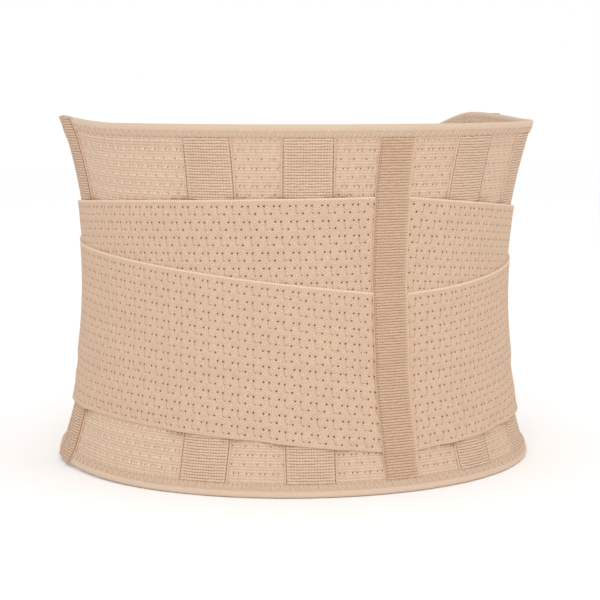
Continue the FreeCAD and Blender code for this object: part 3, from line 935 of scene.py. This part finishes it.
LOOP_LOOK = nap_look("looped_pile", tone(210, 182, 158), 1.1, 0.5)
HOOK_LOOK = hook_look("moulded_hooks", tone(222, 200, 178))
STEEL_LOOK = steel_look("spring_steel")


def dress(made, look, slot, *nodes):
    """Gives a piece its material, and hides the CAD nodes that it stands for."""
    made.data.materials.append(look)
    if nodes:
        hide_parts(*nodes)
    return made


def cross(made, side, zone):
    """Puts a piece's placement into its mesh. The ends of a zone of girths are worked out, but nothing uses
    them.
    """
    start, end = (tuple(skin(side * girth, HINGE_HEIGHT, 0).tolist()) for girth in zone)
    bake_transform(made)


def make_folds(area, suffix, arcs, settle):
    """The bindings and zigzags on a panel's top and bottom edges. settle is called with each piece."""
    for end_name, edge, way in (("top", top_edge, 1), ("bottom", bottom_edge, -1)):
        fold = binding(f"{area}_{end_name}_fold{suffix}", *arcs, edge, way)
        dress(fold, BINDING_LOOK, "binding_tape", f"{area}_{end_name}_binding{suffix}")
        settle(fold)
        seam = zigzag(f"{area}_{end_name}_zigzag{suffix}", *arcs, edge, way)
        settle(dress(seam, THREAD_LOOK, "binding_tape"))


# ------------------------ back


def make_back():
    cover = dress(panel("back_panel_cloth", (-SEAM, SEAM)), PANEL_LOOK, "perforated_elastic", "back_panel")
    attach(cover, "back")
    make_folds("back", "", (-SEAM, SEAM), lambda made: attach(made, "back"))
    return cover


def casing_layers(low, high, over_bindings):
    """The inner and outer layers of a casing: flat and sewn at its edges, proud over its stay."""

    def ends(height, reach):
        return smooth(np.minimum(height - low, high - height), 0.001, reach)

    def inner(height, off):
        pocket = 1 - smooth(np.abs(off), POCKET_WIDTH / 2 - 0.001, POCKET_WIDTH / 2)
        step = 0.0013 * (1 - ends(height, 0.013)) if over_bindings else 0
        return PANEL + step + (POCKET_ROOF - PANEL) * pocket * ends(height, 0.016)

    def outer(height, off):
        bulge = 1 - smooth(np.abs(off), 0.0085, 0.0130)
        sewn = PANEL + CASING_TAPE + (CASING_TAPE * (1 - ends(height, 0.013)) if over_bindings else 0)
        crown = CASING_LAYER if over_bindings else sewn + (CASING_LAYER - sewn) * ends(height, 0.010)
        sunk = 0.0002 * np.exp(-(((np.abs(off) - CASING_STITCH) / 0.0005) ** 2))
        return sewn + (crown - sewn) * bulge - sunk

    return inner, outer


def make_casing(place, side):
    name, arc = SIDE_NAMES[side], side * CASING_ARCS[place]
    over = place == "side"
    lean, shift = CASING_LEANS[place, side]
    arc += shift
    tuck = 0.0005 if over else BINDING_WIDTH - TUCK
    low, high = float(bottom_edge(arc)) + tuck, float(top_edge(arc)) - tuck
    inner, outer = casing_layers(low, high, over)
    plain = (0.0022, 0.0022) if over else (0.0016, 0.0016)
    cloth_tape = tape(f"{place}_casing_tape_{name}", arc, lean, CASING_WIDTH, low, high, inner, outer, plain)
    dress(cloth_tape, SIDE_LOOK if over else CASING_LOOK, "ribbed_tape", f"{place}_casing_{name}")
    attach(cloth_tape, "back")
    offs = (-CASING_STITCH, CASING_STITCH)
    rows = tape_rows(arc, lean, offs, low + SEAM_MARGIN, high - SEAM_MARGIN, outer)
    seam = stitching(f"{place}_casing_seam_{name}", rows, radius=0.00035 if over else 0.00022)
    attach(dress(seam, BROWN_THREAD_LOOK, "ribbed_tape"), "back")


def make_spine_tape():
    """The tape over the straps' ends, stepping up and down over their edges."""
    edges = {}
    for level in STRAP_HEIGHTS:
        edges[level] = (STRAP_HEIGHTS[level] - STRAP_WIDTH / 2, STRAP_HEIGHTS[level] + STRAP_WIDTH / 2)
    low, high = BINDING_WIDTH - TUCK, BELT_HEIGHT - BINDING_WIDTH + TUCK

    def past(height, edge):
        return smooth(height, edge - 0.003, edge + 0.003)

    def inner(height, off):
        buried = edges["upper"][0]
        straps = past(height, edges["lower"][0]) + smooth(height, buried - 0.014, buried + 0.001)
        straps = straps - past(height, edges["lower"][1]) - past(height, edges["upper"][1])
        return PANEL + STRAP * straps

    def outer(height, off):
        return inner(height, off) + SPINE_TAPE

    cover_tape = tape(
        "spine_tape_ribbed", SPINE_TAPE_ARC, SPINE_TAPE_LEAN, SPINE_TAPE_WIDTH,
        low, high, inner, outer, SPINE_PLAIN,
    )
    dress(cover_tape, SPINE_LOOK, "ribbed_tape", "centre_back_tape")
    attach(cover_tape, "back")
    ends = (low + SEAM_MARGIN, high - SEAM_MARGIN)
    rows = tape_rows(SPINE_TAPE_ARC, SPINE_TAPE_LEAN, SPINE_STITCHES, *ends, outer)
    seam = stitching("spine_tape_seam", rows, radius=0.00014)
    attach(dress(seam, SPINE_THREAD_LOOK, "ribbed_tape"), "back")


# ------------------------ straps


def make_strap(level, side):
    name = SIDE_NAMES[side]
    wrap = strap(f"{level}_strap_cloth_{name}", level, side, STRAP_START, STRAP_JOINT)
    rear, front = f"{level}_strap_rear_{name}", f"{level}_strap_side_{name}"
    dress(wrap, STRAP_LOOKS[level], "strap_elastic", rear, front)
    cross(wrap, side, HINGE_ZONE)
    last = TAB_START + STRAP_TUCK
    end = strap(f"{level}_strap_end_cloth_{name}", level, side, STRAP_JOINT, last)
    dress(end, STRAP_LOOKS[level], "strap_elastic", f"{level}_strap_end_{name}")
    cross(end, side, PEEL_ZONE)


def make_tab(side):
    """The tab that both strap ends are sewn into, with the hook patch inside it."""
    name, body, middle = SIDE_NAMES[side], f"strap_{SIDE_NAMES[side]}", TAB_MIDDLES[side]
    shape = (side, TAB_START, TAB_END, middle, TAB_HEIGHT / 2)
    tab = patch(f"strap_tab_cloth_{name}", *shape, at_layer(TAB_LAYER), TAB, TAB_CORNER, 0.00004)
    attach(dress(tab, TAB_LOOK, "tab_fabric", f"strap_tab_{name}"), body)
    rows = []
    for inset in (0.0025, 0.0045):
        rows.append(outline_row(*shape, at_layer(TAB_LAYER + TAB), TAB_CORNER, inset))
    for girth in (TAB_START + 0.006, TAB_START + 0.008):
        rows.append((TAB_HEIGHT - 2 * TAB_SEAM_END, lambda distance, girth=girth: (
            side * girth, middle - TAB_HEIGHT / 2 + TAB_SEAM_END + distance, TAB_LAYER + TAB
        )))
    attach(dress(stitching(f"strap_tab_seam_{name}", rows), THREAD_LOOK, "tab_fabric"), body)
    base = TAB_LAYER - 0.0010
    first, last = TAB_START + 0.010, TAB_END - 0.004
    half = TAB_HEIGHT / 2 - 0.005
    back = patch(
        f"strap_hook_tape_{name}", side, first, last, middle, half, at_layer(base), 0.00095,
        TAB_CORNER - 0.004,
    )
    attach(dress(back, HOOK_LOOK, "hook_tape", f"strap_hook_patch_{name}"), body)
    teeth = hooks(
        f"strap_hooks_{name}", side, first + 0.002, last - 0.006, middle, half - 0.007,
        at_layer(base + 0.0001), 0.0011,
    )
    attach(dress(teeth, HOOK_LOOK, "hook_tape"), body)


# ------------------------ front


def front_end(side):
    """The arc of a front panel's upright end."""
    if side == LEFT:
        return -(HALF_GIRTH + LEFT_PAST_CENTRE)
    return HALF_GIRTH - RIGHT_SHORT_OF_CENTRE


def make_front(side):
    name, end = SIDE_NAMES[side], front_end(side)
    body = f"front_{name}"
    front = panel(f"front_panel_cloth_{name}", sorted((side * SEAM, end - side * BINDING)))
    dress(front, FRONT_LOOK, "front_fabric", f"front_panel_{name}")
    cross(front, side, HINGE_ZONE)

    def settle(made):
        cross(made, side, HINGE_ZONE)

    make_folds("front", f"_{name}", (side * SEAM, end), settle)
    fold = end_binding(f"front_end_fold_{name}", side, end)
    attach(dress(fold, BINDING_LOOK, "binding_tape", f"front_end_binding_{name}"), body)
    low, high = float(bottom_edge(end)) + BINDING_WIDTH, float(top_edge(end)) - BINDING_WIDTH
    rows = []
    for face in (PANEL + BINDING + 0.00005, -BINDING - 0.00005):
        rows.append((high - low, lambda distance, face=face: (
            end - side * (END_BINDING_WIDTH - 0.0015), low + distance, overlap_layer(end) + face
        )))
    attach(dress(stitching(f"front_end_seam_{name}", rows), THREAD_LOOK, "binding_tape"), body)
    loop_patch(
        f"landing_loop_pile_{name}", f"landing_loop_{name}", side,
        (LANDING_START, LANDING_END), TAB_MIDDLES[side], LANDING_HEIGHT / 2,
    )
    return front


def loop_patch(name, node, side, reach, middle, half):
    """A loop patch sewn on a front panel, with its row of stitches."""
    body = f"front_{SIDE_NAMES[side]}"
    pile = patch(name, side, *reach, middle, half, at_layer(PANEL), LOOP - 0.0001, nap=0.00010)
    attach(dress(pile, LOOP_LOOK, "loop_pile", node), body)
    row = outline_row(side, *reach, middle, half, at_layer(PANEL + LOOP - 0.0001), 0, 0.0022)
    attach(dress(stitching(f"{name}_seam", [row]), THREAD_LOOK, "loop_pile"), body)


def make_closure():
    """Hook inside the left panel's end, over the loop on the right panel."""
    top = float(top_edge(CLOSURE_LOOP[1]))
    loop_patch(
        "closure_loop_pile", "closure_loop_patch", RIGHT, CLOSURE_LOOP, top / 2,
        top / 2 - CLOSURE_LOOP_MARGIN,
    )
    half = top / 2 - CLOSURE_HOOK_MARGIN

    def under_panel(arc):
        return overlap_layer(arc) - 0.0005

    back = patch("closure_hook_tape", LEFT, *CLOSURE_HOOK, top / 2, half, under_panel, 0.00045)
    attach(dress(back, HOOK_LOOK, "hook_tape", "closure_hook_patch"), "front_left")
    teeth = hooks(
        "closure_hooks", LEFT, CLOSURE_HOOK[0] + 0.002, CLOSURE_HOOK[1] - 0.002, top / 2, half - 0.002,
        under_panel, 0.0006,
    )
    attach(dress(teeth, HOOK_LOOK, "hook_tape"), "front_left")


# ------------------------ the whole belt

COVER = make_back()
make_spine_tape()
FRONTS = {side: make_front(side) for side in SIDE_NAMES}
for belt_side, side_name in SIDE_NAMES.items():
    for casing_place in CASING_ARCS:
        make_casing(casing_place, belt_side)
        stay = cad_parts[f"{casing_place}_stay_{side_name}"]
        stay.data.materials.clear()
        stay.data.materials.append(STEEL_LOOK)
    for strap_level in STRAP_HEIGHTS:
        make_strap(strap_level, belt_side)
    make_tab(belt_side)
make_closure()

# ------------------------ stage, light and camera

CAMERA_PLACE = (-0.5641, -1.1638 + WAIST_CENTRE_Y, 0.2649)
CAMERA_TURN = math.radians(26)
CAMERA_DIP = 0.12
LENS_MM = 107.3
FLOOR_GAP = 0.0003


def make_stage():
    bpy.ops.mesh.primitive_plane_add(size=8, location=(0, 0, -FLOOR_GAP))
    floor = bpy.context.object
    floor.name = "floor"
    paint = bpy.data.materials.new("pale_floor")
    paint.use_nodes = True
    shader = paint.node_tree.nodes["Principled BSDF"]
    shader.inputs["Base Color"].default_value = (0.98, 0.98, 0.98, 1)
    shader.inputs["Roughness"].default_value = 0.9
    floor.data.materials.append(paint)
    world = bpy.data.worlds.new("studio")
    world.use_nodes = True
    sky = world.node_tree.nodes["Background"]
    sky.inputs["Color"].default_value = (1, 1, 1, 1)
    sky.inputs["Strength"].default_value = 1.0
    bpy.context.scene.world = world


def make_light(name, place, size, energy):
    """A soft square light that faces the belt."""
    lamp = bpy.data.lights.new(name, "AREA")
    lamp.size = size
    lamp.energy = energy
    holder = add_object(name, lamp)
    holder.location = place
    to_belt = -holder.location
    to_belt.z += BELT_HEIGHT / 2
    holder.rotation_euler = to_belt.to_track_quat("-Z", "Y").to_euler()


def make_camera():
    """Behind the wearer and to the left, looking a little down."""
    lens = bpy.data.cameras.new("camera")
    lens.lens = LENS_MM
    lens.sensor_width = 36
    holder = add_object("camera", lens)
    holder.location = CAMERA_PLACE
    holder.rotation_euler = (math.pi / 2 - CAMERA_DIP, 0, -CAMERA_TURN)
    bpy.context.scene.camera = holder


make_stage()
make_light("key", (-1.0, -1.9, 1.4), 1.4, 17)
make_light("fill", (1.5, -0.9, 0.9), 1.2, 2)
make_camera()
bpy.context.scene.view_settings.view_transform = "Standard"
